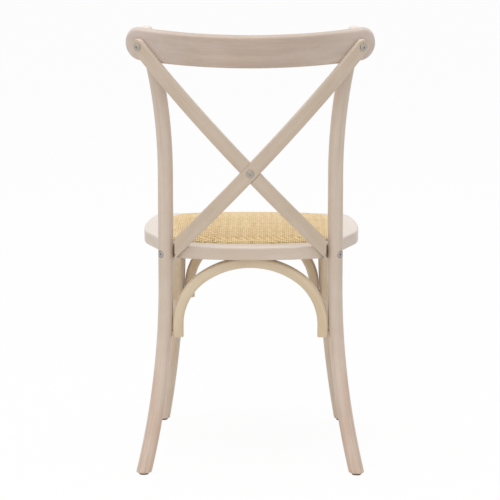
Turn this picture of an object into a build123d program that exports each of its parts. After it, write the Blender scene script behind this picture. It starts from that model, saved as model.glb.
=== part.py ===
"""Cross-back bentwood dining chair with a woven seat: all pieces and fixings, in millimetres.

The front of the chair is -Y, its back is +Y, +X is the sitter's left and the floor is Z = 0.
Left-hand pieces are drawn and the right-hand ones are their mirror images.
"""

from build123d import *
import math
import os

# Seat ring in plan
seat_height = 449.0         # top of the ring above the floor
ring_thick = 26.0
ring_band = 45.0            # flat wooden band around the pad
ring_ledge = 14.0           # ledge inside the band, under the seat panel
recess_depth = 8.0          # ledge below the top of the ring
ring_rear_y = 185.0         # rear edge at the middle
rear_edge_radius = 420.0
rear_corner_x = 152.0
side_bend = (216.0, -14.0)  # where the tapering rear part of the side ends
side_bulge = (221.0, -100.0)
front_corner_x = 200.0
ring_front_y = -258.0       # front edge at the middle
front_edge_radius = 3000.0
rear_corner_radius = 25.0
side_bend_radius = 120.0
front_corner_radius = 34.0
pad_corner_x = 158.0        # rear corner of the opening for the pad
pad_bend = (174.0, -14.0)
pad_bulge = (176.5, -100.0)
pad_front_x = 158.0
pad_rear_radius = 26.0
pad_front_radius = 72.0
ring_top_round = 4.5
ring_bottom_round = 3.0

# Seat panel and woven mat
panel_thick = 6.0
mat_gap = 0.8               # between the mat and the ring
mat_wrap = 3.0              # thickness of the mat around the panel's edge
mat_edge_height = 10.0      # mat above the ring at the front and rear of the pad
mat_crown = 10.0            # further rise to the middle
mat_edge_round = 7.0

# Rear posts, plumb in the middle and bent at both ends
post_dia = 30.0
post_from_corner = 12.0     # along the ring's side from its rear corner
ring_housing = 3.0          # ring let into the post
lower_bend_drop = 53.0      # the lower bend starts this far below the ring
foot_out = 44.0
foot_back = 72.0
upper_bend_rise = 141.0     # the upper bend starts this far above the ring
post_top_z = 882.0
top_out = 38.0
top_back = 43.0
post_top_round = 9.0
foot_round = 2.5

# Front legs, plumb at the top and bent outward to the foot
leg_top_dia = 34.0
leg_foot_dia = 28.0
leg_inset = 43.5            # from both edges of the ring's front corner
leg_foot_out = 35.5
leg_foot_forward = 31.5
leg_stations = 6            # sections of the tapering loft
tenon_dia = 22.0
tenon_length = 16.0

# Crest rail
crest_rear_radius = 470.0
crest_thick = 20.0
crest_height = 63.0
crest_half_width = 241.0
crest_end_length = 28.0     # length of the rounded end, seen from behind
crest_rake = 12.0           # degrees
crest_bolt_below = 28.5     # on the axis of the post, below its top
crest_bolt_drop = 0.7       # bolt below the middle of the crest
crest_housing = 3.0         # crest let into the post
crest_round = 5.0

# Cross straps
strap_width = 29.0
strap_thick = 10.0
strap_round = 2.5
strap_foot_x = 143.0        # where the middle of a strap meets the ring's rear face
strap_foot_drop = 2.0       # below the top of the ring
strap_end_gap = 3.0         # between the cut lower end and the post
cross_back = 31.0           # crossing behind the rear edge of the ring
cross_share = 0.379         # of the way up from the feet of the straps to the crest bolts
over_proud = 1.0            # the upper strap stands this far above the other at the lap
strap_stations = 9

# Arched braces
arch_thick = 21.0
arch_depth = 24.0
arch_round = 6.0
arch_upright = 24.0         # upright end below the haunch
rear_arch_rise = 134.0      # ring above where the upright ends of the rear arch turn into its haunches
arch_rise = 123.0           # the same for the other arches
rear_haunch_radius = 117.0
haunch_radius = 110.0
crown_flat = 1.5            # planed off the crown where it bears on the ring
arch_screw_up = 12.0        # end screw above the cut end

# Fixings
fit = 0.1                   # clearance of pieces that are drawn up tight
arch_fit = 0.6              # between the arches' upright ends and the bent legs
lap_fit = 0.3               # in the notches of the lap
bolt_dia = 6.0
bolt_hole = 6.6
bolt_head_dia = 14.0
bolt_head_height = 3.0
bolt_socket = 4.0           # across the flats
insert_dia = 10.0
insert_length = 15.0
post_bolt_angle = 45.0      # degrees from straight back
post_bolt_drop = 5.0        # below the middle of the ring
counterbore_depth = 4.0
sleeve_dia = 8.0
screw_dia = 4.0
screw_head_dia = 7.6
screw_length = 36.0
panel_screw_dia = 3.5
panel_screw_head_dia = 6.6
panel_screw_length = 21.0
panel_screw_rear_x = 90.0
panel_screw_front_x = 110.0
pin_dia = 2.0
pin_head_dia = 3.4
pin_length = 22.0
pin_from_end = 3.2
pin_drop = 17.5             # below the top of the ring
glide_dia = 19.0
glide_height = 4.0
glide_edge = 0.8
nail_dia = 3.0
nail_length = 14.0

ring_bottom = seat_height - ring_thick
ledge_z = seat_height - recess_depth
post_radius = post_dia / 2
lower_bend_z = ring_bottom - lower_bend_drop
upper_bend_z = seat_height + upper_bend_rise
crest_bolt_z = post_top_z - crest_bolt_below
strap_foot_z = seat_height - strap_foot_drop
cross_y = ring_rear_y + cross_back
cross_z = strap_foot_z + cross_share * (crest_bolt_z - strap_foot_z)
rear_spring_z = ring_bottom - rear_arch_rise
spring_z = ring_bottom - arch_rise


def rear_edge_y(x, inset=0.0):
    """Y of the ring's rear edge, or of a line drawn inset inside it, at a distance from the middle."""
    return ring_rear_y - rear_edge_radius + math.sqrt((rear_edge_radius - inset) ** 2 - x**2)


def front_edge_y(x, inset=0.0):
    """Y of the ring's front edge, or of a line drawn inset inside it."""
    return ring_front_y + front_edge_radius - math.sqrt((front_edge_radius - inset) ** 2 - x**2)


rear_corner = (rear_corner_x, rear_edge_y(rear_corner_x))
front_corner = (front_corner_x, front_edge_y(front_corner_x))


def rounded_plan(corners, band, inset, rear_radius, bend_radius, front_radius):
    """Plan between the ring's rear and front edges, or lines a band inside them, with rounded corners.

    The corners of its left side are its rear corner, bend, bulge and front corner.
    """
    rear_end, bend, bulge, front_end = corners
    half = [Line(rear_end, bend), ThreePointArc(bend, bulge, front_end)]
    rear = ThreePointArc((-rear_end[0], rear_end[1]), (0, ring_rear_y - band), rear_end)
    front = ThreePointArc(front_end, (0, ring_front_y + band), (-front_end[0], front_end[1]))
    outline = make_face([rear, *half, front, *[mirror(edge, about=Plane.YZ) for edge in half]])
    if inset:
        outline = offset(outline, -inset, kind=Kind.INTERSECTION)
    outline = fillet(outline.vertices().sort_by(Axis.Y)[-2:], rear_radius)
    outline = fillet(outline.vertices().sort_by(Axis.Y)[:2], front_radius)
    return fillet(outline.vertices().sort_by(Axis.Y)[4:6], bend_radius)


def ring_plan(inset):
    """Plan of the ring's outer edge, or inside it."""
    corners = (rear_corner, side_bend, side_bulge, front_corner)
    return rounded_plan(corners, 0, inset, rear_corner_radius, side_bend_radius, front_corner_radius)


def pad_plan(inset):
    """Plan of the opening for the pad, or inside it."""
    rear_end = (pad_corner_x, rear_edge_y(pad_corner_x, ring_band))
    front_end = (pad_front_x, front_edge_y(pad_front_x, ring_band))
    corners = (rear_end, pad_bend, pad_bulge, front_end)
    return rounded_plan(corners, ring_band, inset, pad_rear_radius, side_bend_radius, pad_front_radius)


def slab(outline, low, high):
    """Plan outline made solid between two heights."""
    return Pos(0, 0, low) * extrude(outline, high - low)


def below(height):
    """Everything below a height, for trimming feet."""
    return Pos(0, 0, height - post_top_z / 2) * Box(2 * post_top_z, 2 * post_top_z, post_top_z)


def bend_offset(reach, rise, along):
    """Sideways offset of a round bend that starts plumb and moves by reach over rise."""
    radius = (rise**2 + reach**2) / (2 * reach)
    return radius - math.sqrt(radius**2 - along**2)


# The post stands against the tapering side of the ring
side_run = (Vector(*side_bend) - Vector(*rear_corner)).normalized()
side_normal = Vector(-side_run.Y, side_run.X)
post_foot = (
    Vector(*rear_corner) + side_run * post_from_corner + side_normal * (post_radius - ring_housing)
)


def post_axis(height):
    """Point on the left post's axis."""
    shift, out, back = 0.0, 0.0, 1.0
    if height > upper_bend_z:
        out, back = top_out, top_back
        shift = bend_offset(math.hypot(out, back), post_top_z - upper_bend_z, height - upper_bend_z)
    if height < lower_bend_z:
        out, back = foot_out, foot_back
        shift = bend_offset(math.hypot(out, back), lower_bend_z, lower_bend_z - height)
    reach = math.hypot(out, back)
    return Vector(post_foot.X + shift * out / reach, post_foot.Y + shift * back / reach, height)


leg_top = Vector(front_corner[0] - leg_inset, front_corner[1] + leg_inset)


def leg_axis(height):
    """Point on the left front leg's axis."""
    reach = math.hypot(leg_foot_out, leg_foot_forward)
    shift = bend_offset(reach, ring_bottom, ring_bottom - height)
    return Vector(
        leg_top.X + shift * leg_foot_out / reach, leg_top.Y - shift * leg_foot_forward / reach, height
    )


def leg_radius(height):
    """Radius of a front leg, tapering evenly to the foot."""
    share = height / ring_bottom
    return (leg_foot_dia + (leg_top_dia - leg_foot_dia) * share) / 2


# The crest rail bends about a raked axis; its bolts run square to its face through the posts
rake = math.radians(crest_rake)
crest_up = Vector(0, math.sin(rake), math.cos(rake))
crest_back = Vector(0, math.cos(rake), -math.sin(rake))
crest_seat = post_radius - crest_housing
crest_bolt_point = post_axis(crest_bolt_z)
crest_bolt_radius = crest_rear_radius - crest_thick - crest_seat
crest_bolt_angle = math.asin(crest_bolt_point.X / crest_bolt_radius)
crest_bolt_dir = Vector(math.sin(crest_bolt_angle), 0, 0) + crest_back * math.cos(crest_bolt_angle)
crest_origin = crest_bolt_point - crest_bolt_dir * crest_bolt_radius + crest_up * crest_bolt_drop


def crest_blank(clear):
    """Crest rail with square edges, grown on all sides by a clearance."""
    outer = crest_rear_radius + clear
    inner = crest_rear_radius - crest_thick - clear
    band = (Circle(outer) - Circle(inner)) & Pos(0, outer) * Rectangle(3 * crest_half_width, 2 * outer)
    bent = extrude(
        Plane(crest_origin, x_dir=(1, 0, 0), z_dir=crest_up) * band, crest_height / 2 + clear, both=True
    )
    end_at = crest_half_width - crest_end_length
    end = Ellipse(crest_end_length + clear, crest_height / 2 + clear)
    outline = Rectangle(2 * end_at, crest_height + 2 * clear) + Pos(end_at, 0) * end + Pos(-end_at, 0) * end
    seen = Plane(crest_origin, x_dir=(1, 0, 0), z_dir=-crest_back)
    return bent & extrude(seen * outline, -2 * outer)


def connector_bolt(length):
    """Low-headed bolt with a hexagon socket; the head seats at Z = 0 and the shank runs down."""
    head = Pos(0, 0, bolt_head_height / 2) * Cylinder(bolt_head_dia / 2, bolt_head_height)
    head = fillet(head.edges().group_by(Axis.Z)[-1], bolt_head_height / 2)
    socket = RegularPolygon(bolt_socket / 2, 6, major_radius=False)
    head -= Pos(0, 0, bolt_head_height * 0.3) * extrude(socket, bolt_head_height)
    shank = Pos(0, 0, -length / 2) * Cylinder(bolt_dia / 2, length)
    return head + chamfer(shank.edges().group_by(Axis.Z)[0], 0.6)


def insert_nut():
    """Threaded insert, its outer end at Z = 0."""
    nut = Cylinder(insert_dia / 2, insert_length) - Cylinder(bolt_hole / 2, insert_length)
    return Pos(0, 0, -insert_length / 2) * nut


def wood_screw(dia, head_dia, length, clear=0.0):
    """Countersunk screw, its flat head at Z = 0 and its point up; with a clearance, the hole for it."""
    head, shank = head_dia / 2 + clear, dia / 2 + clear
    sink, tip = (head_dia - dia) / 2, 1.2 * dia
    points = [(0, 0), (head, 0), (shank, sink), (shank, length - tip), (0.3 + clear, length + clear)]
    points.append((0, length + clear))
    screw = revolve(Plane.XZ * make_face(Polyline(*points, close=True)), Axis.Z)
    if clear:
        screw += Pos(0, 0, -clear) * Cylinder(head, 2 * clear)
    return screw


def along(point, direction):
    """Plane at a point whose Z runs in a direction."""
    return Plane(origin=point, z_dir=direction)


def both_sides(piece):
    """A left piece and its mirror image."""
    return [piece, mirror(piece, about=Plane.YZ)]


# Cross straps: a lath lofted along a curve, twisting from the ring's rear face to the crest's
strap_seat = strap_thick / 2 + fit
foot_angle = math.asin(strap_foot_x / rear_edge_radius)
foot_normal = Vector(-math.sin(foot_angle), math.cos(foot_angle), 0)
strap_foot = (
    Vector(-strap_foot_x, rear_edge_y(strap_foot_x), strap_foot_z) + foot_normal * strap_seat
)
strap_head = crest_bolt_point + crest_bolt_dir * (crest_seat + crest_thick + strap_seat)
strap_cut_x = post_foot.X - post_radius - strap_end_gap

# Where a strap leaves the lower edge of the crest on its way down to the crossing
edge_share = 1 - crest_height / 2 * math.cos(rake) / (strap_head.Z - cross_z)
edge_angle = math.asin(strap_head.X * edge_share / (crest_rear_radius + strap_seat))
edge_dir = Vector(math.sin(edge_angle), 0, 0) + crest_back * math.cos(edge_angle)
strap_edge = crest_origin + edge_dir * (crest_rear_radius + strap_seat) - crest_up * (crest_height / 2)


def strap_path(lift):
    """Curve of a strap from its foot over the crossing and the lower edge of the crest to its head."""
    return Spline(strap_foot, (0, cross_y + lift, cross_z), strap_edge, strap_head)


lap_point = Vector(0, cross_y, cross_z)
lap_share = strap_path(0).param_at_point(lap_point)
lap_tangent = strap_path(0) % lap_share
lap_normal = Vector(0, lap_tangent.Z, -lap_tangent.Y).normalized()


def strap_frame(path, share):
    """Plane across a strap: X over its width, Y through its thickness, Z along it."""
    weights = (
        (share - lap_share) * (share - 1) / lap_share,
        share * (share - 1) / (lap_share * (lap_share - 1)),
        share * (share - lap_share) / (1 - lap_share),
    )
    normals = (foot_normal, lap_normal, crest_bolt_dir)
    facing = Vector(0, 0, 0)
    for weight, normal in zip(weights, normals):
        facing += normal * weight
    inside = min(max(share, 0.0), 1.0)
    tangent = path % inside
    point = path @ inside + tangent * (share - inside) * path.length
    return Plane(point, x_dir=facing.cross(tangent), z_dir=tangent)


def strap_blank(lift):
    """Lath of one strap with its head rounded about the bolt and its foot cut upright beside the post."""
    path = strap_path(lift)
    spare = strap_width / path.length
    section = RectangleRounded(strap_width, strap_thick, strap_round)
    shares = [-spare + (1 + 2 * spare) * i / (strap_stations - 1) for i in range(strap_stations)]
    lath = loft([strap_frame(path, share) * section for share in shares])
    head = strap_frame(path, 1.0)
    round_end = Pos(0, 0, strap_width) * Box(2 * strap_width, 3 * strap_thick, 2 * strap_width)
    round_end -= Rot(90, 0, 0) * Cylinder(strap_width / 2, 4 * strap_thick)
    lath = lath - head * round_end - crest_blank(fit) - ring_blank
    cut = 4 * strap_width
    return lath - Pos(-strap_cut_x - cut / 2, strap_foot.Y, strap_foot.Z) * Box(cut, cut, cut)


def lap_notch(tangent, side):
    """Room for the other strap, which runs along a tangent, in front (-1) or behind (+1) the lap."""
    notch = Pos(0, 0, side * (strap_thick - lap_fit / 2)) * Box(
        4 * strap_width, strap_width + 2 * lap_fit, 2 * strap_thick
    )
    return Plane(lap_point, x_dir=tangent, z_dir=lap_normal) * notch


crest = crest_blank(0)
crest_faces = crest.faces().filter_by(GeomType.CYLINDER)
crest = fillet(crest_faces.edges(), crest_round)

crest_bolt_seat = crest_seat + crest_thick + strap_thick + 2 * fit
crest_bolt_length = crest_bolt_seat - crest_seat + insert_length
crest_bolt_hole = along(crest_bolt_point + crest_bolt_dir * crest_bolt_seat, crest_bolt_dir) * (
    Pos(0, 0, -crest_bolt_length / 2) * Cylinder(bolt_hole / 2, crest_bolt_length + bolt_head_height)
    + Pos(0, 0, bolt_head_dia - fit) * Cylinder(bolt_head_dia / 2 + 3 * fit, 2 * bolt_head_dia)
)
crest_insert_hole = along(crest_bolt_point + crest_bolt_dir * crest_seat, crest_bolt_dir) * Pos(
    0, 0, -insert_length / 2
) * Cylinder(insert_dia / 2 + fit, insert_length + 2)
crest_bolt = along(crest_bolt_point + crest_bolt_dir * crest_bolt_seat, crest_bolt_dir) * connector_bolt(
    crest_bolt_length
)
crest_insert = along(crest_bolt_point + crest_bolt_dir * (crest_seat - 0.5), crest_bolt_dir) * insert_nut()
for hole in both_sides(crest_bolt_hole):
    crest -= hole

ring_blank = slab(offset(ring_plan(0), fit), ring_bottom - fit, seat_height + fit)
lap_mirror = Vector(-lap_tangent.X, lap_tangent.Y, lap_tangent.Z)
lap_hole = along(lap_point, lap_normal) * Cylinder(sleeve_dia / 2 + fit, 60)
strap_under = strap_blank(0) - crest_bolt_hole - lap_hole - lap_notch(lap_mirror, 1)
strap_over = mirror(strap_blank(over_proud) - crest_bolt_hole, about=Plane.YZ)
strap_over = strap_over - lap_hole - lap_notch(lap_tangent, -1)

# Pins at the strap feet, square to the ring's rear face
pin_x = strap_cut_x - pin_from_end
pin_angle = math.asin(pin_x / rear_edge_radius)
pin_dir = Vector(math.sin(pin_angle), math.cos(pin_angle), 0)
pin_point = Vector(pin_x, rear_edge_y(pin_x), seat_height - pin_drop) + pin_dir * strap_thick
pin = along(pin_point, -pin_dir) * wood_screw(pin_dia, pin_head_dia, pin_length)
pin_hole = along(pin_point, -pin_dir) * wood_screw(pin_dia, pin_head_dia, pin_length, fit)
strap_under -= mirror(pin_hole, about=Plane.YZ)
strap_over -= pin_hole

# Bolts that hold the posts to the ring, run in from the outer rear side of each post
post_bolt_turn = math.radians(post_bolt_angle)
post_bolt_dir = Vector(math.sin(post_bolt_turn), math.cos(post_bolt_turn), 0)
post_bolt_z = seat_height - ring_thick / 2 - post_bolt_drop
post_bolt_line = along(post_axis(post_bolt_z), post_bolt_dir)
post_bolt_seat = post_radius - counterbore_depth
ring_face = (post_radius - ring_housing) / side_normal.dot(post_bolt_dir)
insert_start = ring_face + insert_dia / 2
post_bolt_length = post_bolt_seat + insert_start + insert_length
post_bolt = post_bolt_line * Pos(0, 0, post_bolt_seat) * connector_bolt(post_bolt_length)
ring_insert = post_bolt_line * Pos(0, 0, -insert_start) * insert_nut()
ring_insert_hole = post_bolt_line * Pos(0, 0, -insert_start - insert_length / 2) * Cylinder(
    insert_dia / 2 + fit, 2 * insert_start + insert_length
)
post_bolt_hole = post_bolt_line * (
    Cylinder(bolt_hole / 2, 2 * post_dia)
    + Pos(0, 0, post_bolt_seat + post_radius) * Cylinder(bolt_head_dia / 2 + 5 * fit, post_dia)
)

# Arched braces
def arch_frame(start, end, start_radius, end_radius):
    """Upright plane between two legs, origin on the floor midway in the clear span, and half that span."""
    run = Vector(end.X - start.X, end.Y - start.Y)
    clear = run.length - start_radius - end_radius
    across = run.normalized()
    middle = Vector(start.X, start.Y, 0) + across * (start_radius + clear / 2)
    return Plane(middle, x_dir=across, z_dir=across.cross(Vector(0, 0, 1))), clear / 2


def arch_blank(frame, half_span, spring, radius):
    """Brace bent to a three-centred arch, its crown planed flat under the ring, and its screws' places."""
    reach = half_span - arch_fit - arch_thick / 2
    top = ring_bottom + crown_flat - arch_thick / 2
    rise = top - spring
    centre = reach - radius
    crown = (centre**2 + rise**2 - radius**2) / (2 * (rise - radius))
    turn = math.atan2(spring - (top - crown), centre)
    haunch = [
        (centre + radius * math.cos(angle), spring + radius * math.sin(angle))
        for angle in (0, turn / 2, turn)
    ]
    end = spring - arch_upright
    half = [Line((reach, end), haunch[0]), ThreePointArc(*haunch)]
    over = ThreePointArc(haunch[2], (0, top), (-haunch[2][0], haunch[2][1]))
    far_half = [mirror(piece, about=Plane.YZ) for piece in half]
    path = Wire([edge for piece in (*half, over, *far_half) for edge in piece.edges()])
    section = RectangleRounded(arch_thick, arch_depth, arch_round)
    section = Plane((reach, end), x_dir=(1, 0, 0), z_dir=(0, 1, 0)) * section
    bent = sweep(section, path=path)
    bent -= Pos(0, ring_bottom + arch_thick) * Box(4 * half_span, 2 * arch_thick, 2 * arch_depth)
    inner = reach - arch_thick / 2
    places = [
        Plane((inner, end + arch_screw_up), z_dir=(1, 0, 0)),
        Plane((-inner, end + arch_screw_up), z_dir=(-1, 0, 0)),
        Plane((0, top - arch_thick / 2), z_dir=(0, 1, 0)),
    ]
    return frame * bent, [frame * place.location for place in places]


def opposite(point):
    """Mirror image of a point."""
    return Vector(-point.X, point.Y, point.Z)


post_behind = post_axis(rear_spring_z)
post_beside = post_axis(spring_z)
leg_beside = leg_axis(spring_z)
leg_girth = leg_radius(spring_z)
rear_frame = arch_frame(post_behind, opposite(post_behind), post_radius, post_radius)
front_frame = arch_frame(leg_beside, opposite(leg_beside), leg_girth, leg_girth)
left_frame = arch_frame(leg_beside, post_beside, leg_girth, post_radius)
right_frame = arch_frame(opposite(leg_beside), opposite(post_beside), leg_girth, post_radius)
arch_blanks = {
    "arch_rear": arch_blank(*rear_frame, rear_spring_z, rear_haunch_radius),
    "arch_front": arch_blank(*front_frame, spring_z, haunch_radius),
    "arch_left": arch_blank(*left_frame, spring_z, haunch_radius),
    "arch_right": arch_blank(*right_frame, spring_z, haunch_radius),
}
arches = {}
arch_screws = []
arch_holes = []
for name, (arch, places) in arch_blanks.items():
    for place in places:
        arch_screws.append(place * wood_screw(screw_dia, screw_head_dia, screw_length))
        hole = place * wood_screw(screw_dia, screw_head_dia, screw_length, fit)
        arch_holes.append(hole)
        arch -= hole
    arches[name] = arch

# Rear posts
post_runs = [
    ThreePointArc(post_axis(-12), post_axis(lower_bend_z / 2), post_axis(lower_bend_z)),
    Line(post_axis(lower_bend_z), post_axis(upper_bend_z)),
    ThreePointArc(
        post_axis(upper_bend_z), post_axis((upper_bend_z + post_top_z) / 2), post_axis(post_top_z)
    ),
]
post_path = Wire([edge for run in post_runs for edge in run.edges()])
post = sweep(Plane(post_path @ 0, z_dir=post_path % 0) * Circle(post_radius), path=post_path)
post = fillet(post.edges().sort_by(Axis.Z)[-1:], post_top_round)
post -= below(glide_height)
post = fillet(post.edges().group_by(Axis.Z)[0], foot_round)
post = post - ring_blank - crest_blank(fit) - crest_insert_hole - crest_bolt_hole - post_bolt_hole

# Front legs
leg_path = ThreePointArc(leg_axis(ring_bottom), leg_axis(ring_bottom / 2), leg_axis(-10))
leg_sections = []
for i in range(leg_stations):
    share = i / (leg_stations - 1)
    centre = leg_path @ share
    leg_sections.append(along(centre, leg_path % share) * Circle(leg_radius(centre.Z)))
leg = loft(leg_sections) - below(glide_height)
leg = fillet(leg.edges().group_by(Axis.Z)[0], foot_round)
tenon_z = ring_bottom + tenon_length / 2 - 1
leg += Pos(leg_top.X, leg_top.Y, tenon_z) * Cylinder(tenon_dia / 2, tenon_length + 2)

# Floor glides and their nails
glides = []
for foot in (post_axis(glide_height), leg_axis(glide_height)):
    disc = Pos(foot.X, foot.Y, glide_height / 2) * Cylinder(glide_dia / 2, glide_height)
    disc = chamfer(disc.edges().group_by(Axis.Z)[0], glide_edge)
    nail = Pos(foot.X, foot.Y, glide_height + nail_length / 2) * Cylinder(nail_dia / 2, nail_length)
    nail_z = glide_height + nail_length / 2
    hole = Pos(foot.X, foot.Y, nail_z) * Cylinder(nail_dia / 2 + fit, nail_length + 2 * fit)
    post -= hole
    leg -= hole
    glides += both_sides(disc + nail)
for hole in arch_holes:
    post -= hole
    leg -= hole

# Seat ring with its rebate, mortises and holes
ring = slab(ring_plan(0), ring_bottom, seat_height)
ring = fillet(ring.edges().group_by(Axis.Z)[-1], ring_top_round)
ring = fillet(ring.edges().group_by(Axis.Z)[0], ring_bottom_round)
ring -= slab(pad_plan(0), ledge_z, seat_height + 1)
ring -= slab(pad_plan(ring_ledge), ring_bottom - 1, seat_height)
mortise = Pos(leg_top.X, leg_top.Y, ring_bottom + tenon_length / 2) * Cylinder(
    tenon_dia / 2 + fit, tenon_length + 2 * fit
)
for hole in both_sides(mortise) + both_sides(ring_insert_hole) + both_sides(pin_hole) + arch_holes:
    ring -= hole

# Seat panel on the ledge, and the mat wrapped over it
panel_inset = mat_gap + mat_wrap + fit
panel = slab(pad_plan(panel_inset), ledge_z, ledge_z + panel_thick)
panel_screw_inset = ring_band + (panel_inset + ring_ledge) / 2
panel_screws = []
for x, y in (
    (panel_screw_rear_x, rear_edge_y(panel_screw_rear_x, panel_screw_inset)),
    (panel_screw_front_x, front_edge_y(panel_screw_front_x, panel_screw_inset)),
):
    sizes = (panel_screw_dia, panel_screw_head_dia, panel_screw_length)
    for side in (x, -x):
        panel_screws.append(Pos(side, y, ring_bottom) * wood_screw(*sizes))
        hole = Pos(side, y, ring_bottom) * wood_screw(*sizes, fit)
        ring -= hole
        panel -= hole

pad_front = ring_front_y + ring_band
pad_rear = ring_rear_y - ring_band
pad_half = (pad_rear - pad_front) / 2
dome_radius = (pad_half**2 + mat_crown**2) / (2 * mat_crown)
dome_top = seat_height + mat_edge_height + mat_crown
dome = Pos(0, (pad_front + pad_rear) / 2, dome_top - dome_radius) * Sphere(dome_radius)
mat = slab(pad_plan(mat_gap), ledge_z, dome_top + mat_crown) & dome
mat = fillet(mat.faces().sort_by(Axis.Z)[-1].edges(), mat_edge_round)
mat -= slab(pad_plan(mat_gap + mat_wrap), ledge_z - 1, ledge_z + panel_thick)

# Bolt and sleeve nut at the crossing
lap_line = along(lap_point, lap_normal)
lap_rear = strap_thick / 2 + over_proud
lap_front = strap_thick / 2
lap_stack = lap_rear + lap_front
cross_bolt = lap_line * Pos(0, 0, lap_rear + fit) * connector_bolt(lap_stack - 2)
sleeve_length = lap_stack - 1
sleeve = Pos(0, 0, -bolt_head_height / 2) * Cylinder(bolt_head_dia / 2, bolt_head_height)
sleeve = fillet(sleeve.edges().group_by(Axis.Z)[0], bolt_head_height / 2)
sleeve += Pos(0, 0, sleeve_length / 2) * Cylinder(sleeve_dia / 2, sleeve_length)
sleeve -= Pos(0, 0, sleeve_length) * Cylinder(bolt_hole / 2, 2 * sleeve_length)
cross_sleeve = lap_line * Pos(0, 0, -lap_front - fit) * sleeve

pieces = {
    "rear_post_left": [post],
    "rear_post_right": [mirror(post, about=Plane.YZ)],
    "front_leg_left": [leg],
    "front_leg_right": [mirror(leg, about=Plane.YZ)],
    "crest_rail": [crest],
    "cross_strap_over": [strap_over],
    "cross_strap_under": [strap_under],
    "seat_ring": [ring],
    "seat_panel": [panel],
    "rattan_mat": [mat],
    **{name: [arch] for name, arch in arches.items()},
    "crest_bolts": both_sides(crest_bolt),
    "crest_inserts": both_sides(crest_insert),
    "post_bolts": both_sides(post_bolt),
    "ring_inserts": both_sides(ring_insert),
    "cross_bolt": [cross_bolt],
    "cross_sleeve_nut": [cross_sleeve],
    "strap_pins": both_sides(pin),
    "arch_screws": arch_screws,
    "panel_screws": panel_screws,
    "floor_glides": glides,
}

# The origin is on the floor under the middle of the whole chair
whole = Compound(children=[solid for group in pieces.values() for piece in group for solid in piece.solids()])
box = whole.bounding_box()
to_middle = Pos(0, -(box.min.Y + box.max.Y) / 2, 0)
os.makedirs("parts", exist_ok=True)
for name, group in pieces.items():
    solids = [to_middle * solid for piece in group for solid in piece.solids()]
    export_step(solids[0] if len(solids) == 1 else Compound(children=solids), f"parts/{name}.step")
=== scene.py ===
"""Looks of a cross-back bentwood chair with a woven rattan seat, built around its packed solids.

The row frame is used throughout: metres, +Z up, the front of the chair at -Y and its back at +Y.
"""

import math

import bpy
import numpy as np
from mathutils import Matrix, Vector


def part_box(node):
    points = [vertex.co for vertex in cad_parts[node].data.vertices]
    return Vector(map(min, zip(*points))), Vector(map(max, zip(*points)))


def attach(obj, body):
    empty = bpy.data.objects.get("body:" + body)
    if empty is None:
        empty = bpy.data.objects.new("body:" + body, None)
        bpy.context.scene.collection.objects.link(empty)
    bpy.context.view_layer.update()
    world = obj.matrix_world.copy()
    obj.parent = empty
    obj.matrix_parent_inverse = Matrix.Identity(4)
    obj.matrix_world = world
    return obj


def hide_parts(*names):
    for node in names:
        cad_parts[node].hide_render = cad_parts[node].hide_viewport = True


bl_info = {
    "name": "Cross-back chair",
    "version": (1, 0, 0),
    "blender": (4, 5, 0),
    "location": "3D View > Sidebar > Chair",
    "description": "Weaves the rattan seat and finishes the wood and the fixings of a bentwood chair",
    "category": "Object",
}

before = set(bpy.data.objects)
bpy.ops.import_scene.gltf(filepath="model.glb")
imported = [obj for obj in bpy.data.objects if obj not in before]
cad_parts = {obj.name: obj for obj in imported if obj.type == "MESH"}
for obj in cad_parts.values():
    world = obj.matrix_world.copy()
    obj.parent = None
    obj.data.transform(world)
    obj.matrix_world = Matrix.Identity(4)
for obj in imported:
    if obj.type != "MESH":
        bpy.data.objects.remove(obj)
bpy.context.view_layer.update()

# Bends of the long pieces, which the grain follows
POST_LOWER_BEND, POST_UPPER_BEND, POST_TOP = 0.370, 0.590, 0.882
POST_FOOT_OUT, POST_FOOT_BACK = 0.044, 0.072
POST_TOP_OUT, POST_TOP_BACK = 0.038, 0.043
LEG_FOOT_OUT, LEG_FOOT_FORWARD = 0.0355, 0.0315
CREST_RAKE, CREST_RADIUS = math.radians(12.0), 0.470
STRAP_LEAN = math.radians(41.5)
SEAT_BOTTOM, SEAT_TOP = (corner.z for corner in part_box("seat_ring"))
POST_SPOT = (0.1674, 0.1437)    # axis of a post where it meets the seat ring

# Layers of the wood's figure, in cells per metre across the grain and along it
BAND, FIBRE, FLECK = (70, 3.5), (800, 16), (1300, 170)
CLOUD, BLUSH, PORE = (20, 12), (45, 9), (250, 2.5)
BAND_WEIGHT, FIBRE_WEIGHT, CLOUD_WEIGHT = 0.9, 0.7, 0.8
BLUSH_LEVELS, FLECK_LEVELS, PORE_LEVELS = (0.45, 0.75), (0.6, 0.75), (0.58, 0.72)
STRAP_DEPTH = 0.3               # scale of the figure through a strap's depth
UPWARD = (0.4, 0.9)             # rises of the normal between which upper faces get a painted white highlight
FOOT_FIGURE = (0.36, 0.06)      # heights between which the figure grows towards a foot

# Patches: distances between which they grow, and their full strength; the ring's patch is painted shade
PAINTED_SHADE_REACH, PAINTED_SHADE_SHARE = (0.038, 0.018), 0.8          # from a post, on the ring
CREST_END_REACH, CREST_END_SHARE = (0.12, 0.23), 0.4    # from the middle, on the crest

# Layers of the cane's figure, in cells per unit of tone, per radian round a strand and per metre along it
CANE_STREAK, CANE_PATCH, CANE_KNOT = (400, 9, 45), (900, 0, 14), (1700, 0, 55)
KNOT_LEVELS = (0.71, 0.78)

# Layers of the other finishes, in cells per metre level and upright
ZINC_CLOUD, PLASTIC_GRAIN, DUST, PAD_WEAVE = (600, 600), (2500, 2500), (160, 160), (1800, 600)
DUST_LEVELS = (0.5, 0.8)

# Plan of the mat: directions in which its farthest point is taken, and least distance between such points
PLAN_DIRECTIONS, PLAN_STEP = 360, 1e-5

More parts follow.
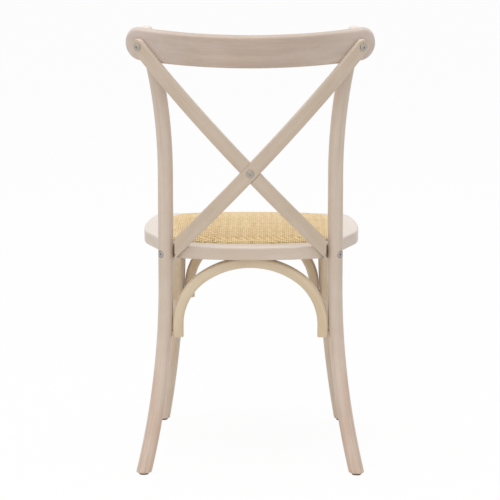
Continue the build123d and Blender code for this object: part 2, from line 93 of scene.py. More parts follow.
# Turned-down end of a strand, in shares of the roll's width
STRAND_TURN = np.array((0.0, 0.0, 0.0, 0.02, 0.06, 0.13))
STRAND_MARGIN = 0.23

# Swing of a strand: gain of its sine, height in thicknesses, and strands over which it grows from its least
SWING_GAIN, SWING_LIFT = 1.7, 0.45
CALM_STRANDS, CALM_LEAST = 5, 0.15
STRAND_POWER = 0.7              # power of the cosine in a strand's section

# Pad: inset from the plan and depth under the top, in strand thicknesses; edge and foot above the board
LINER_INSET, LINER_SUNK = 2, 2.3
LINER_EDGE, LINER_FOOT = 0.0004, 0.0001

# Soft lights: place and side length
TOP_LIGHT = (0.4, 0.6, 4.2), 3.6
BACK_LIGHT = (0.9, 4.6, 2.6), 3.2
LIGHT_AIM = (0, 0, 0.5)
WHITE, PAPER = (1, 1, 1, 1), (0.93, 0.93, 0.93, 1)
FLOOR_REACH = 40.0
SENSOR_WIDTH = 36.0             # millimetres
SIGHT = 100.0                   # how far the camera sees


def pigment(red, green, blue):
    """Linear colour of a pigment given in a screen's steps from 0 to 255."""
    steps = np.array((red, green, blue)) / 255
    linear = np.where(steps <= 0.04045, steps / 12.92, ((steps + 0.055) / 1.055) ** 2.4)
    return tuple(float(part) for part in linear)


FOOT_TINT = pigment(201, 164, 142)
PORE_BROWN = pigment(150, 122, 100)
# Painted highlight for faces that look up
PAINTED_TOP_HIGHLIGHT = pigment(246, 238, 230)
KNOT_BROWN = pigment(176, 132, 78)
PALER_EDGE_CANE = pigment(252, 230, 178)
ZINC_BLOOM = pigment(126, 122, 118)
FLOOR_DUST = pigment(96, 88, 80)
CLOTH_SHADE = pigment(110, 84, 52)


def length_property(name, description, default):
    """A length that a user may change."""
    return bpy.props.FloatProperty(
        name=name, description=description, default=default, unit="LENGTH", precision=4
    )


def colour_property(name, description, steps):
    """A colour that a user may change, given in a screen's steps."""
    return bpy.props.FloatVectorProperty(
        name=name, description=description, default=pigment(*steps), subtype="COLOR", min=0, max=1
    )


class ChairWeaveSettings(bpy.types.PropertyGroup):
    """Sizes of the woven seat."""

    pitch: length_property("Pitch", "Distance between neighbouring strands", 0.0042)
    width: length_property("Strand width", "Width of one flat strand", 0.0040)
    thickness: length_property("Strand thickness", "Thickness of one flat strand", 0.0015)
    crown: length_property("Crown", "Rise of the seat from its edge to its middle", 0.010)
    side_share: bpy.props.FloatProperty(
        name="Side share", description="Fall of the crown to the sides, as a share of its fall to the rear",
        default=0.4, subtype="FACTOR", min=0, max=1,
    )
    roll_width: length_property("Roll width", "Width of the soft roll at the edge of the seat", 0.022)
    roll_drop: length_property("Roll drop", "Fall of the seat over that roll", 0.0085)
    tuck: length_property("Tuck", "Height of the strand ends above the foot of the mat", 0.0015)
    shortest: length_property("Shortest strand", "Shorter strands at the corners are left out", 0.045)
    over: bpy.props.IntProperty(
        name="Strands passed over", description="Strands that each strand passes over, then under",
        default=2, min=1,
    )
    stations: bpy.props.IntProperty(
        name="Stations", description="Sections along each strand between its turned-down ends",
        default=138, min=20,
    )
    sides: bpy.props.IntProperty(name="Sides", description="Points around a strand", default=6, min=4)


class ChairColourSettings(bpy.types.PropertyGroup):
    """Colours of the finishes."""

    wash_light: colour_property("Whitewash, light", "Posts and ring where the wash is thick", (216, 201, 187))
    wash_dark: colour_property("Whitewash, dark", "Posts and ring where the grain shows", (197, 178, 159))
    wash_blush: colour_property("Whitewash, blush", "Whitewashed wood where it is warmest", (206, 180, 160))
    # Front legs: the wash made lighter, partly painted light standing in for fill under the seat, and warmer
    # in hue
    leg_light: colour_property("Front legs, light", "Front legs where the wash is thick", (231, 216, 199))
    leg_dark: colour_property("Front legs, dark", "Front legs where the grain shows", (212, 193, 171))
    leg_blush: colour_property("Front legs, blush", "Front legs where they are warmest", (214, 188, 156))
    strap_light: colour_property("Straps, light", "Cross straps where the wash is thick", (210, 193, 175))
    strap_dark: colour_property("Straps, dark", "Cross straps where the grain shows", (191, 170, 148))
    # The crest's own colours, darker than the posts'
    crest_light: colour_property("Crest colour, light", "Crest where the wash is thick", (198, 181, 167))
    crest_dark: colour_property("Crest colour, dark", "Crest where the grain shows", (178, 157, 140))
    # Paler colour mixed in towards the ends of the crest
    crest_end_tint: colour_property("Crest ends", "Wash at the ends of the crest", (224, 213, 208))
    # Painted shade for the ring's top in the nooks beside the posts
    ring_painted_shade: colour_property("Ring painted shade", "Corners of the ring beside the posts", (116, 92, 74))
    pale_light: colour_property("Pale wood, light", "Braces where the wood is palest", (222, 205, 178))
    pale_dark: colour_property("Pale wood, dark", "Braces where the grain shows", (203, 180, 148))
    pale_blush: colour_property("Pale wood, blush", "Braces where they are warmest", (214, 186, 150))
    rattan_light: colour_property("Rattan, light", "Palest strands of the seat", (243, 220, 173))
    rattan_dark: colour_property("Rattan, dark", "Darkest strands of the seat", (209, 173, 114))
    liner: colour_property("Liner", "Pad under the weave", (150, 118, 76))
    board: colour_property("Board", "Plywood under the seat", (196, 168, 128))
    board_dark: colour_property("Board, dark", "Plywood where the grain shows", (176, 142, 100))
    zinc: colour_property("Zinc", "Plated bolts, inserts and screws", (180, 175, 168))
    iron: colour_property("Iron", "Pins at the feet of the straps", (120, 104, 92))
    glide: colour_property("Glides", "Plastic under the feet", (112, 94, 78))


class ChairStageSettings(bpy.types.PropertyGroup):
    """Camera, light and floor."""

    camera_back: length_property("Camera distance", "Camera behind the middle of the chair", 4.9939)
    camera_side: length_property("Camera sideways", "Camera to the sitter's left", -0.0395)
    camera_height: length_property("Camera height", "Camera above the floor", 1.2723)
    camera_pitch: bpy.props.FloatProperty(
        name="Pitch", description="Camera turned down",
        default=math.radians(9.7618), subtype="ANGLE",
    )
    camera_yaw: bpy.props.FloatProperty(
        name="Yaw", description="Camera turned to the sitter's left",
        default=math.radians(0.4779), subtype="ANGLE",
    )
    lens: bpy.props.FloatProperty(
        name="Lens", description="Focal length on a sensor 36 mm wide",
        default=179.16, subtype="DISTANCE_CAMERA",
    )
    sky: bpy.props.FloatProperty(name="Sky", description="Even light from all sides", default=0.60, min=0)
    top_power: bpy.props.FloatProperty(
        name="Top light", description="Power of the soft light overhead",
        default=85.0, subtype="POWER",
    )
    back_power: bpy.props.FloatProperty(
        name="Back light", description="Power of the soft light on the camera's side",
        default=32.0, subtype="POWER",
    )
    shadow: bpy.props.FloatProperty(
        name="Shadow", description="How much of the floor's shade the camera sees",
        default=0.05, min=0, max=1,
    )


class Value:
    """A number on a node's output; arithmetic on it adds Math nodes to its material."""

    def __init__(self, finish, socket):
        self.finish = finish
        self.socket = socket

    def math(self, operation, *others):
        return self.finish.node("ShaderNodeMath", dict(enumerate((self, *others))), operation=operation)

    def __add__(self, other):
        return self.math("ADD", other)

    def __sub__(self, other):
        return self.math("SUBTRACT", other)

    def __rsub__(self, other):
        return self.finish.node("ShaderNodeMath", {0: other, 1: self}, operation="SUBTRACT")

    def __mul__(self, other):
        return self.math("MULTIPLY", other)

    def __truediv__(self, other):
        return self.math("DIVIDE", other)

    def __pow__(self, other):
        return self.math("POWER", other)

    def __abs__(self):
        return self.math("ABSOLUTE")

    def at_least(self, floor):
        return self.math("MAXIMUM", floor)

    def within(self, low, high):
        """Share of the way from low to high, held between 0 and 1."""
        inputs = {"Value": self, "From Min": low, "From Max": high}
        return self.finish.node("ShaderNodeMapRange", inputs, clamp=True)


class Finish:
    """The shader of a material or of the world in the making."""

    def __init__(self, owner):
        owner.use_nodes = True
        self.owner = owner
        self.tree = owner.node_tree
        self.tree.nodes.clear()

    def node(self, kind, inputs=None, output=0, **settings):
        """Adds a node: its settings first, then the values or links of its sockets."""
        made = self.tree.nodes.new(kind)
        for key, value in settings.items():
            setattr(made, key, value)
        for key, value in (inputs or {}).items():
            if isinstance(value, Value):
                self.tree.links.new(value.socket, made.inputs[key])
            else:
                made.inputs[key].default_value = value
        return Value(self, made.outputs[output]) if made.outputs else None

    def place(self):
        """Object coordinates as three numbers."""
        spot = self.node("ShaderNodeTexCoord", output="Object")
        return [self.node("ShaderNodeSeparateXYZ", {0: spot}, output=axis) for axis in range(3)]

    def attribute(self, name):
        """A number that the piece's mesh carries at its points."""
        return self.node("ShaderNodeAttribute", output="Fac", attribute_name=name)

    def noise(self, x, y, z, detail):
        """Smooth noise of about 0.5 on coordinates already scaled to its grain."""
        spot = self.node("ShaderNodeCombineXYZ", {0: x, 1: y, 2: z})
        inputs = {"Vector": spot, "Scale": 1.0, "Detail": detail}
        return self.node("ShaderNodeTexNoise", inputs, output="Fac")

    def figure(self, grain, cells, detail):
        """Noise on coordinates across, through and along a grain, with cells per metre across and along."""
        across, depth, along = grain
        return self.noise(across * cells[0], depth * cells[0], along * cells[1], detail)

    def mix(self, first, second, share):
        """A colour between two colours; the Mix node's colours are its sockets 6 and 7."""
        inputs = {0: share, 6: solid(first), 7: solid(second)}
        return self.node("ShaderNodeMix", inputs, output=2, data_type="RGBA")

    def surface(self, height=None, depth=0.0, **inputs):
        """Ends the material in a Principled surface, with a bump where a height of 0 to 1 is given."""
        if height is not None:
            bump = {"Height": height, "Distance": depth, "Strength": 1.0}
            inputs["Normal"] = self.node("ShaderNodeBump", bump, output="Normal")
        named = {key.replace("_", " "): value for key, value in inputs.items()}
        shader = self.node("ShaderNodeBsdfPrincipled", named)
        self.node("ShaderNodeOutputMaterial", {"Surface": shader})
        return self.owner


def solid(colour):
    """A colour with full cover, or a link as it is."""
    return colour if isinstance(colour, Value) else (*colour, 1.0)


def shades(colours, *names):
    """Colours from the settings, by name."""
    return [tuple(getattr(colours, name)) for name in names]


def dress(nodes, material):
    """Gives packed solids a material."""
    for node in nodes:
        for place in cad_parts[node].material_slots:
            place.material = material


# Coordinates that follow the grain: two across it and one along it, in metres


def post_grain(finish):
    """Upright, moved sideways with the parabolas that the bent posts follow."""
    x, y, z = finish.place()
    low = (POST_LOWER_BEND - z).at_least(0.0)
    high = (z - POST_UPPER_BEND).at_least(0.0)
    low = low * low / POST_LOWER_BEND**2
    high = high * high / (POST_TOP - POST_UPPER_BEND) ** 2
    out = low * POST_FOOT_OUT + high * POST_TOP_OUT
    back = low * POST_FOOT_BACK + high * POST_TOP_BACK
    return abs(x) - out, y - back, z


def leg_grain(finish):
    """Upright, moved with the front legs' single bend."""
    x, y, z = finish.place()
    low = (SEAT_BOTTOM - z).at_least(0.0)
    low = low * low / SEAT_BOTTOM**2
    return abs(x) - low * LEG_FOOT_OUT, y + low * LEG_FOOT_FORWARD, z


def crest_grain(finish):
    """Along X, on raked cylinders about the axis that the crest bends round."""
    x, y, z = finish.place()
    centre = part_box("crest_rail")[1].y - CREST_RADIUS
    height = z * math.cos(CREST_RAKE) + y * math.sin(CREST_RAKE)
    back = (y - centre) * math.cos(CREST_RAKE) - (z - SEAT_TOP) * math.sin(CREST_RAKE)
    return height, (x * x + back * back) ** 0.5, x


def strap_grain(side):
    """Along a strap that leans to one side."""

    def grain(finish):
        x, y, z = finish.place()
        x = x * side
        across = x * math.cos(STRAP_LEAN) - z * math.sin(STRAP_LEAN)
        along = x * math.sin(STRAP_LEAN) + z * math.cos(STRAP_LEAN)
        return across, y * STRAP_DEPTH, along

    return grain


def arch_grain(node, across_axis):
    """Round the middle of an arch, which stands along the X axis (0) or the Y axis (1)."""

    def grain(finish):
        spot = finish.place()
        low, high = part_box(node)
        reach = (high[across_axis] - low[across_axis]) / 2
        run = spot[across_axis] - (low[across_axis] + high[across_axis]) / 2
        rise = spot[2] - (high.z - reach)
        turn = run.math("ARCTAN2", rise)
        return (run * run + rise * rise) ** 0.5, spot[1 - across_axis], turn * reach

    return grain


def ring_grain(finish):
    """Round the seat ring, on rounded squares of the fourth power."""
    x, y, z = finish.place()
    low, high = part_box("seat_ring")
    run = y - (low.y + high.y) / 2
    square = x * x * x * x + run * run * run * run
    return square**0.25, z, x.math("ARCTAN2", run) * high.x


def board_grain(finish):
    """Flat along Y."""
    x, y, z = finish.place()
    return x, z, y


def wood(name, grain, light, dark, warm, contrast=1.0, roughness=0.33, white=0.0, foot=0.0, patch=None):
    """Fine-grained wood: growth bands, fibre streaks and short ray flecks along the grain, unevenly washed.

    Each layer is noise stretched along the grain: bands 14 mm by 0.3 m, fibres 1.2 mm by 60 mm, flecks
    0.8 mm by 6 mm, dark pore lines 4 mm by 0.4 m, clouds in the wash 50 mm by 80 mm. Faces that look up
    get a painted white highlight, and the figure may grow stronger, darker and warmer towards a foot.
    A patch is a colour and its place; on the ring it is painted shade beside the posts.
    """
    finish = Finish(bpy.data.materials.new(name))
    spot = grain(finish)
    near_foot = spot[2].within(*FOOT_FIGURE) * foot
    band = finish.figure(spot, BAND, 3)
    fibre = finish.figure(spot, FIBRE, 3)
    fleck = finish.figure(spot, FLECK, 1)
    cloud = finish.figure(spot, CLOUD, 3)
    tone = (band - 0.5) * BAND_WEIGHT + (fibre - 0.5) * FIBRE_WEIGHT + (cloud - 0.5) * CLOUD_WEIGHT
    colour = finish.mix(dark, light, tone * (near_foot * 0.6 + contrast) + 0.55)
    blush = finish.figure(spot, BLUSH, 2).within(*BLUSH_LEVELS)
    colour = finish.mix(colour, warm, blush * 0.35)
    # Darker and warmer towards the foot
    colour = finish.mix(colour, FOOT_TINT, (blush * 0.6 + 0.4) * near_foot * 0.3)
    mark = fleck.within(*FLECK_LEVELS)
    colour = finish.mix(colour, dark, mark * 0.45)
    pore = finish.figure(spot, PORE, 2).within(*PORE_LEVELS)
    colour = finish.mix(colour, PORE_BROWN, pore * (near_foot * 0.18 + 0.12))
    # Painted highlight: faces that look up are mixed towards white, standing in for the top light and sheen
    # on them
    up = finish.node("ShaderNodeNewGeometry", output="Normal")
    up = finish.node("ShaderNodeSeparateXYZ", {0: up}, output=2).within(*UPWARD)
    colour = finish.mix(colour, PAINTED_TOP_HIGHLIGHT, up * white)
    if patch:
        shade, place = patch
        colour = finish.mix(colour, shade, place(finish))
    return finish.surface(
        height=fibre * 0.6 - mark * 0.4,
        depth=0.0001,
        Base_Color=colour,
        Roughness=(fibre - 0.5) * 0.25 + roughness + mark * 0.1,
        Specular_IOR_Level=0.5,
    )


def painted_shade_beside_posts(finish):
    """Painted shade: dark in the corners of the ring beside the posts, in the nooks where shade falls."""
    x, y, z = finish.place()
    out, back = abs(x) - POST_SPOT[0], y - POST_SPOT[1]
    return ((out * out + back * back) ** 0.5).within(*PAINTED_SHADE_REACH) * PAINTED_SHADE_SHARE


def crest_ends(finish):
    """Paler towards the round ends of the crest."""
    return abs(finish.place()[0]).within(*CREST_END_REACH) * CREST_END_SHARE


def rattan(name, light, dark):
    """Peeled cane: each strand has its own tone, streaks run along it and darker nodes cross it in places.

    It is mixed paler over the roll at the edge of the seat.
    """
    finish = Finish(bpy.data.materials.new(name))
    tone, along, around = (finish.attribute(part) for part in ("tone", "along", "around"))

    def layer(cells, detail):
        return finish.noise(tone * cells[0], around * cells[1], along * cells[2], detail)

    streak = layer(CANE_STREAK, 2)
    patch = layer(CANE_PATCH, 1)
    knot = layer(CANE_KNOT, 0).within(*KNOT_LEVELS)
    share = tone * 0.55 + (streak - 0.5) * 0.9 + (patch - 0.5) * 0.8 + 0.2
    colour = finish.mix(dark, light, share)
    colour = finish.mix(colour, PALER_EDGE_CANE, finish.attribute("rub") * 0.6)
    colour = finish.mix(colour, KNOT_BROWN, knot * 0.45)
    return finish.surface(
        height=streak,
        depth=0.00012,
        Base_Color=colour,
        Roughness=(streak - 0.5) * 0.3 + 0.42,
        Specular_IOR_Level=0.5,
    )


def metal(name, colour):
    """Bare or plated metal with a faint cloudy bloom."""
    finish = Finish(bpy.data.materials.new(name))
    bloom = finish.figure(finish.place(), ZINC_CLOUD, 3)
    return finish.surface(
        Base_Color=finish.mix(colour, ZINC_BLOOM, (bloom - 0.35) * 0.8),
        Metallic=1.0,
        Roughness=bloom * 0.25 + 0.28,
    )


def plastic(name, colour):
    """Moulded plastic with a fine grain and a little floor dust."""
    finish = Finish(bpy.data.materials.new(name))
    spot = finish.place()
    grain = finish.figure(spot, PLASTIC_GRAIN, 2)
    dust = finish.figure(spot, DUST, 3).within(*DUST_LEVELS)
    return finish.surface(
        height=grain,
        depth=0.00006,
        Base_Color=finish.mix(colour, FLOOR_DUST, dust * 0.5),
        Roughness=dust * 0.25 + 0.5,
    )


def cloth(name, colour):
    """Coarse pad cloth."""
    finish = Finish(bpy.data.materials.new(name))
    weave = finish.figure(finish.place(), PAD_WEAVE, 2)
    return finish.surface(
        height=weave, depth=0.0002, Base_Color=finish.mix(colour, CLOTH_SHADE, weave), Roughness=0.85
    )


def put(name, points, *faces, smooth=True, **numbers):
    """Makes a piece from points, arrays of faces with equal corners, and numbers kept at the points."""
    mesh = bpy.data.meshes.new(name)
    corners = np.concatenate([group.ravel() for group in faces])
    counts = np.concatenate([np.full(len(group), group.shape[1]) for group in faces])
    mesh.vertices.add(len(points))
    mesh.vertices.foreach_set("co", points.astype(np.float32).ravel())
    mesh.loops.add(len(corners))
    mesh.loops.foreach_set("vertex_index", corners.astype(np.int32))
    mesh.polygons.add(len(counts))
    mesh.polygons.foreach_set("loop_start", (np.cumsum(counts) - counts).astype(np.int32))
    mesh.polygons.foreach_set("use_smooth", np.full(len(counts), smooth))
    for key, values in numbers.items():
        kept = mesh.attributes.new(key, "FLOAT", "POINT")
        kept.data.foreach_set("value", values.astype(np.float32).ravel())
    mesh.update(calc_edges=True)
    mesh.validate()
    piece = bpy.data.objects.new(name, mesh)
    bpy.context.scene.collection.objects.link(piece)
    return piece


def mat_plan():
    """Plan of the mat's solid, anticlockwise: its farthest point in each of many directions."""
    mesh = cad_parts["rattan_mat"].data
    points = np.empty(3 * len(mesh.vertices), np.float32)
    mesh.vertices.foreach_get("co", points)
    points = points.reshape(-1, 3)[:, :2].astype(float)
    turn = np.linspace(0, 2 * np.pi, PLAN_DIRECTIONS + 1)[:-1]
    farthest = (points @ np.stack((np.cos(turn), np.sin(turn)))).argmax(0)
    outline = points[farthest]
    step = np.linalg.norm(outline - np.roll(outline, 1, 0), axis=1)
    return outline[step > PLAN_STEP]


def inside(outline, spots):
    """Distance of spots from the nearest side of a convex outline, measured inwards."""
    run = np.roll(outline, -1, 0) - outline
    inward = np.stack((-run[:, 1], run[:, 0]), 1) / np.linalg.norm(run, axis=1)[:, None]
    return (spots @ inward.T - (outline * inward).sum(1)).min(-1)


def chords(outline, places, axis):
    """Where lines at places along one axis enter and leave a convex outline, along the other axis."""
    first = outline[:, axis].argmin()
    last = outline[:, axis].argmax()
    ring = np.roll(outline, -first, 0)
    turn = (last - first) % len(outline)
    ends = []
    for side in (ring[: turn + 1], np.concatenate((ring[turn:], ring[:1]))[::-1]):
        ends.append(np.interp(places, side[:, axis], side[:, 1 - axis]))
    return np.minimum(*ends), np.maximum(*ends)


class SeatForm:
    """Crowned top of the seat: a flat dome, flatter from side to side, whose edge rolls down softly."""

    def __init__(self, weave):
        low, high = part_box("rattan_mat")
        half = (high.y - low.y) / 2
        self.outline = mat_plan()
        self.foot, self.top = low.z, high.z
        self.middle = (low.y + high.y) / 2
        self.radius = (half**2 + weave.crown**2) / (2 * weave.crown)
        self.side_share = weave.side_share
        self.roll = weave.roll_width, weave.roll_drop

    def height(self, spots, sunk=0.0):
        """Height of the dome at spots in plan, less the quarter ellipse of its roll and an even depth."""
        away = self.side_share * spots[..., 0] ** 2 + (spots[..., 1] - self.middle) ** 2
        dome = self.top - self.radius + np.sqrt(self.radius**2 - away)
        width, drop = self.roll
        near = 1 - np.clip(inside(self.outline, spots) / width, 0, 1)
        return dome - drop * (1 - np.sqrt(1 - near**2)) - sunk


def strand_runs(form, weave, axis):
    """Places of one layer's strands, side by side, and where each starts and ends in the plan."""
    across = 1 - axis
    low, high = form.outline[:, across].min(), form.outline[:, across].max()
    count = int((high - low - weave.width) / weave.pitch) + 1
    places = (low + high) / 2 + weave.pitch * (np.arange(count) - (count - 1) / 2)
    start, end = chords(form.outline, places, across)
    start, end = start + weave.thickness / 2, end - weave.thickness / 2
    long_enough = end - start > weave.shortest
    return places[long_enough], start[long_enough], end[long_enough]


def strand_paths(form, weave, axis):
    """Middle lines of one layer's strands, as strands by stations by XYZ.

    A strand's height swings between over and under as a clipped sine of x + y, opposite in the two layers,
    so each passes over some strands and then under as many, one step further on than its neighbour. The
    swing is calmer near the edge of the seat, where the ends turn down and are tucked in beside the board.
    """
    places, start, end = strand_runs(form, weave, axis)
    turned = weave.roll_width * STRAND_TURN
    margin = weave.roll_width * STRAND_MARGIN
    runs = (end - start - 2 * margin)[:, None] * np.linspace(0, 1, weave.stations)
    spots = np.empty((len(places), weave.stations + 2 * len(turned), 2))
    spots[..., axis] = np.concatenate(
        (start[:, None] + turned, (start + margin)[:, None] + runs, end[:, None] - turned[::-1]), 1
    )
    spots[..., 1 - axis] = places[:, None]

    swing = np.clip(SWING_GAIN * np.sin(np.pi * spots.sum(-1) / (weave.over * weave.pitch)), -1, 1)
    sign = 1 if axis else -1
    lift = weave.thickness * SWING_LIFT
    calm = np.clip(inside(form.outline, spots) / (CALM_STRANDS * weave.pitch), CALM_LEAST, 1)
    heights = form.height(spots, lift + weave.thickness / 2) + sign * lift * swing * calm
    foot = form.foot + weave.tuck
    for tip, bend, edge in ((0, 1, 2), (-1, -2, -3)):
        heights[:, tip] = foot
        heights[:, bend] = (foot + heights[:, edge]) / 2
    return np.concatenate((spots, heights[..., None]), -1)


def strand_layer(name, form, weave, axis, seed):
    """Strands along X (0) or Y (1), each a flat oval section carried along its middle line.

    The section is a superellipse: its width follows a power of the cosine, its thickness the sine.
    """
    path = strand_paths(form, weave, axis)
    tangent = np.gradient(path, axis=1)
    tangent /= np.linalg.norm(tangent, axis=-1, keepdims=True)
    side = np.array((-1.0, 0, 0) if axis else (0, 1.0, 0))
    normal = np.cross(tangent, side)
    turn = 2 * np.pi * np.arange(weave.sides) / weave.sides
    flat = np.sign(np.cos(turn)) * np.abs(np.cos(turn)) ** STRAND_POWER * weave.width / 2
    thick = np.sin(turn) * weave.thickness / 2
    points = path[:, :, None] + flat[:, None] * side + thick[:, None] * normal[:, :, None]

    strands, stations, sides = points.shape[:3]
    number = np.arange(strands * stations * sides).reshape(strands, stations, sides)
    after = np.roll(number, -1, 2)
    walls = np.stack((number[:, :-1], after[:, :-1], after[:, 1:], number[:, 1:]), -1).reshape(-1, 4)
    caps = np.concatenate((number[:, 0, ::-1], number[:, -1]))
    rng = np.random.default_rng(seed)
    tone = np.broadcast_to(rng.random(strands)[:, None, None], number.shape)
    along = np.broadcast_to(path[:, :, None, axis], number.shape)
    around = np.broadcast_to(turn, number.shape)
    rub = 1 - np.clip(inside(form.outline, path[..., :2]) / weave.roll_width, 0, 1)
    rub = np.broadcast_to(rub[:, :, None], number.shape)
    return put(name, points.reshape(-1, 3), walls, caps, tone=tone, along=along, around=around, rub=rub)


def liner_pad(name, form, weave, rings=24):
    """Thin pad on the board: the dome less the weave's depth, on rings drawn in from the plan."""
    sunk = weave.thickness * LINER_SUNK
    middle = np.array((0.0, form.middle))
    share = 1 - np.linspace(0, 1, rings) ** 2
    reach = np.linalg.norm(form.outline - middle, axis=1)[:, None]
    drawn = middle + (form.outline - middle) * (1 - LINER_INSET * weave.thickness / reach)
    spots = middle + share[:-1, None, None] * (drawn - middle)
    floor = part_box("seat_panel")[1].z
    heights = np.maximum(form.height(spots, sunk), floor + LINER_EDGE)
    top = np.concatenate((spots, heights[..., None]), -1)
    foot = np.concatenate((spots[0], np.full((len(drawn), 1), floor + LINER_FOOT)), 1)
    crown = np.array((*middle, form.height(middle[None], sunk)[0]))
    points = np.concatenate((foot[None], top)).reshape(-1, 3)
    number = np.arange(len(points)).reshape(-1, len(drawn))
    after = np.roll(number, -1, 1)
    walls = np.stack((number[:-1], after[:-1], after[1:], number[1:]), -1).reshape(-1, 4)
    tip = np.full(len(drawn), len(points))
    fan = np.stack((number[-1], after[-1], tip), 1)
    return put(name, np.concatenate((points, crown[None])), walls, fan, number[:1, ::-1])


def take_place_of_mat(piece, material):
    """Finishes a piece of the seat and puts it in the place of the mat's solid."""
    piece.data.materials.append(material)
    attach(piece, "root")
    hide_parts("rattan_mat")


class CHAIR_OT_weave_seat(bpy.types.Operator):
    """Weave the rattan seat over its pad"""

    bl_idname = "chair.weave_seat"
    bl_label = "Weave seat"

    def execute(self, context):
        weave, colours = context.scene.chair_weave, context.scene.chair_colours
        form = SeatForm(weave)
        cane = rattan("rattan", *shades(colours, "rattan_light", "rattan_dark"))
        for name, axis, seed in (("seat_weave_long", 1, 11), ("seat_weave_cross", 0, 12)):
            take_place_of_mat(strand_layer(name, form, weave, axis, seed), cane)
        liner = liner_pad("seat_liner", form, weave)
        take_place_of_mat(liner, cloth("liner_cloth", *shades(colours, "liner")))
        return {"FINISHED"}


class CHAIR_OT_finish_frame(bpy.types.Operator):
    """Whitewash the posts, the front legs, the crest rail, the straps and the seat ring"""

    bl_idname = "chair.finish_frame"
    bl_label = "Whitewash frame"

    def execute(self, context):
        colours = context.scene.chair_colours
        wash = shades(colours, "wash_light", "wash_dark", "wash_blush")
        # Front legs: lighter than the posts, partly painted light for the shade under the seat
        lightened_legs = shades(colours, "leg_light", "leg_dark", "leg_blush")
        crest_colours = shades(colours, "crest_light", "crest_dark", "wash_blush")
        straps = shades(colours, "strap_light", "strap_dark", "wash_blush")
        paler_crest_ends = *shades(colours, "crest_end_tint"), crest_ends
        # The ring's patch is painted shade in the nooks beside the posts
        painted_shade = *shades(colours, "ring_painted_shade"), painted_shade_beside_posts
        # white: share of the painted highlight on faces that look up
        posts = wood("wash_posts", post_grain, *wash, white=0.6, foot=2.6)
        dress(("rear_post_left", "rear_post_right"), posts)
        dress(("front_leg_left", "front_leg_right"), wood("wash_legs", leg_grain, *lightened_legs, foot=0.8))
        dress(("crest_rail",), wood("wash_crest", crest_grain, *crest_colours, contrast=1.5, patch=paler_crest_ends))
        dress(("cross_strap_under",), wood("wash_strap_under", strap_grain(1), *straps, white=0.5))
        dress(("cross_strap_over",), wood("wash_strap_over", strap_grain(-1), *straps, white=0.5))
        dress(("seat_ring",), wood("wash_ring", ring_grain, *wash, white=0.4, patch=painted_shade))
        return {"FINISHED"}


class CHAIR_OT_finish_braces(bpy.types.Operator):
    """Finish the four arched braces in pale wood"""

    bl_idname = "chair.finish_braces"
    bl_label = "Finish braces"

    def execute(self, context):
        pale = shades(context.scene.chair_colours, "pale_light", "pale_dark", "pale_blush")
        for node, axis in (("arch_rear", 0), ("arch_front", 0), ("arch_left", 1), ("arch_right", 1)):
            dress((node,), wood(f"pale_{node}", arch_grain(node, axis), *pale))
        return {"FINISHED"}


class CHAIR_OT_finish_fixings(bpy.types.Operator):
    """Finish the seat board, the bolts, inserts, screws and pins, and the floor glides"""

    bl_idname = "chair.finish_fixings"
    bl_label = "Finish fixings"

    def execute(self, context):
        colours = context.scene.chair_colours
        board = shades(colours, "board", "board_dark", "board")
        filler = shades(colours, "pale_light", "pale_dark", "pale_dark")
        bolts = ("crest_bolts", "post_bolts", "cross_bolt", "cross_sleeve_nut")
        inserts = ("crest_inserts", "ring_inserts")
        dress(("seat_panel",), wood("board", board_grain, *board, roughness=0.7))
        dress((*bolts, *inserts, "panel_screws"), metal("zinc", *shades(colours, "zinc")))
        dress(("strap_pins",), metal("dark_iron", *shades(colours, "iron")))
        dress(("arch_screws",), wood("filled_heads", board_grain, *filler, roughness=0.5))
        dress(("floor_glides",), plastic("glide_plastic", *shades(colours, "glide")))
        return {"FINISHED"}


def soft_light(name, place, size, power):
    """A large square light turned towards the chair."""
    lamp = bpy.data.lights.new(name, "AREA")
    lamp.energy = power
    lamp.size = size
    holder = bpy.data.objects.new(name, lamp)
    holder.location = place
    holder.rotation_euler = (Vector(LIGHT_AIM) - Vector(place)).to_track_quat("-Z", "Y").to_euler()
    bpy.context.scene.collection.objects.link(holder)


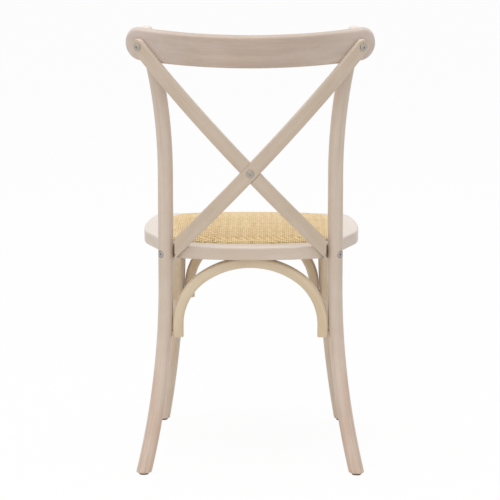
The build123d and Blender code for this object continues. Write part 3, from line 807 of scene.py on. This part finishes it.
class CHAIR_OT_set_stage(bpy.types.Operator):
    """Set up the floor, the light and the camera"""

    bl_idname = "chair.set_stage"
    bl_label = "Set stage"

    def execute(self, context):
        stage = context.scene.chair_stage
        self.lay_floor(stage)
        self.light(context, stage)
        self.aim_camera(context, stage)
        context.scene.view_settings.view_transform = "Standard"
        return {"FINISHED"}

    def seen(self, finish):
        """One for what the camera, a mirror or clear glass shows, and nothing for what lights the chair."""
        names = (f"Is {kind} Ray" for kind in ("Camera", "Glossy", "Transmission"))
        camera, mirror, glass = (finish.node("ShaderNodeLightPath", output=name) for name in names)
        return camera.at_least(mirror).at_least(glass)

    def lay_floor(self, stage):
        """White paper that keeps a faint shade of the chair."""
        corners = np.array(((-1, -1, 0), (1, -1, 0), (1, 1, 0), (-1, 1, 0))) * FLOOR_REACH
        floor = put("floor", corners, np.arange(4)[None], smooth=False)
        finish = Finish(bpy.data.materials.new("floor_paper"))
        paper = finish.node("ShaderNodeBsdfDiffuse", {"Color": PAPER})
        glow = finish.node("ShaderNodeEmission", {"Color": WHITE, "Strength": 1.0})
        share = self.seen(finish) * (1 - stage.shadow)
        shown = finish.node("ShaderNodeMixShader", {0: share, 1: paper, 2: glow})
        finish.node("ShaderNodeOutputMaterial", {"Surface": shown})
        floor.data.materials.append(finish.owner)

    def light(self, context, stage):
        """Even light from a white sky, with one soft light overhead and one on the camera's side."""
        world = context.scene.world or bpy.data.worlds.new("studio")
        context.scene.world = world
        finish = Finish(world)
        even = finish.node("ShaderNodeBackground", {"Color": WHITE, "Strength": stage.sky})
        white = finish.node("ShaderNodeBackground", {"Color": WHITE, "Strength": 1.0})
        shown = finish.node("ShaderNodeMixShader", {0: self.seen(finish), 1: even, 2: white})
        finish.node("ShaderNodeOutputWorld", {"Surface": shown})
        soft_light("top_light", *TOP_LIGHT, stage.top_power)
        soft_light("back_light", *BACK_LIGHT, stage.back_power)

    def aim_camera(self, context, stage):
        """A long lens behind the chair, looking a little down on it."""
        camera = bpy.data.cameras.new("camera")
        camera.sensor_width = SENSOR_WIDTH
        camera.lens = stage.lens
        camera.clip_end = SIGHT
        holder = bpy.data.objects.new("camera", camera)
        holder.location = (stage.camera_side, stage.camera_back, stage.camera_height)
        holder.rotation_euler = (math.pi / 2 - stage.camera_pitch, 0, math.pi + stage.camera_yaw)
        context.scene.collection.objects.link(holder)
        context.scene.camera = holder


class CHAIR_PT_panel(bpy.types.Panel):
    """Steps and settings of the chair"""

    bl_idname = "CHAIR_PT_panel"
    bl_label = "Cross-back chair"
    bl_space_type = "VIEW_3D"
    bl_region_type = "UI"
    bl_category = "Chair"

    def draw(self, context):
        for operator in OPERATORS:
            self.layout.operator(operator.bl_idname)
        for name, group in SETTINGS.items():
            box = self.layout.box()
            box.label(text=group.__doc__)
            for key in group.__annotations__:
                box.prop(getattr(context.scene, name), key)


SETTINGS = {
    "chair_weave": ChairWeaveSettings,
    "chair_colours": ChairColourSettings,
    "chair_stage": ChairStageSettings,
}
OPERATORS = (
    CHAIR_OT_weave_seat,
    CHAIR_OT_finish_frame,
    CHAIR_OT_finish_braces,
    CHAIR_OT_finish_fixings,
    CHAIR_OT_set_stage,
)


def register():
    for made in (*SETTINGS.values(), *OPERATORS, CHAIR_PT_panel):
        bpy.utils.register_class(made)
    for name, group in SETTINGS.items():
        setattr(bpy.types.Scene, name, bpy.props.PointerProperty(type=group))


def unregister():
    for name in SETTINGS:
        delattr(bpy.types.Scene, name)
    for made in reversed((*SETTINGS.values(), *OPERATORS, CHAIR_PT_panel)):
        bpy.utils.unregister_class(made)


def main():
    register()
    bpy.ops.chair.weave_seat()
    bpy.ops.chair.finish_frame()
    bpy.ops.chair.finish_braces()
    bpy.ops.chair.finish_fixings()
    bpy.ops.chair.set_stage()


if __name__ == "__main__":
    main()
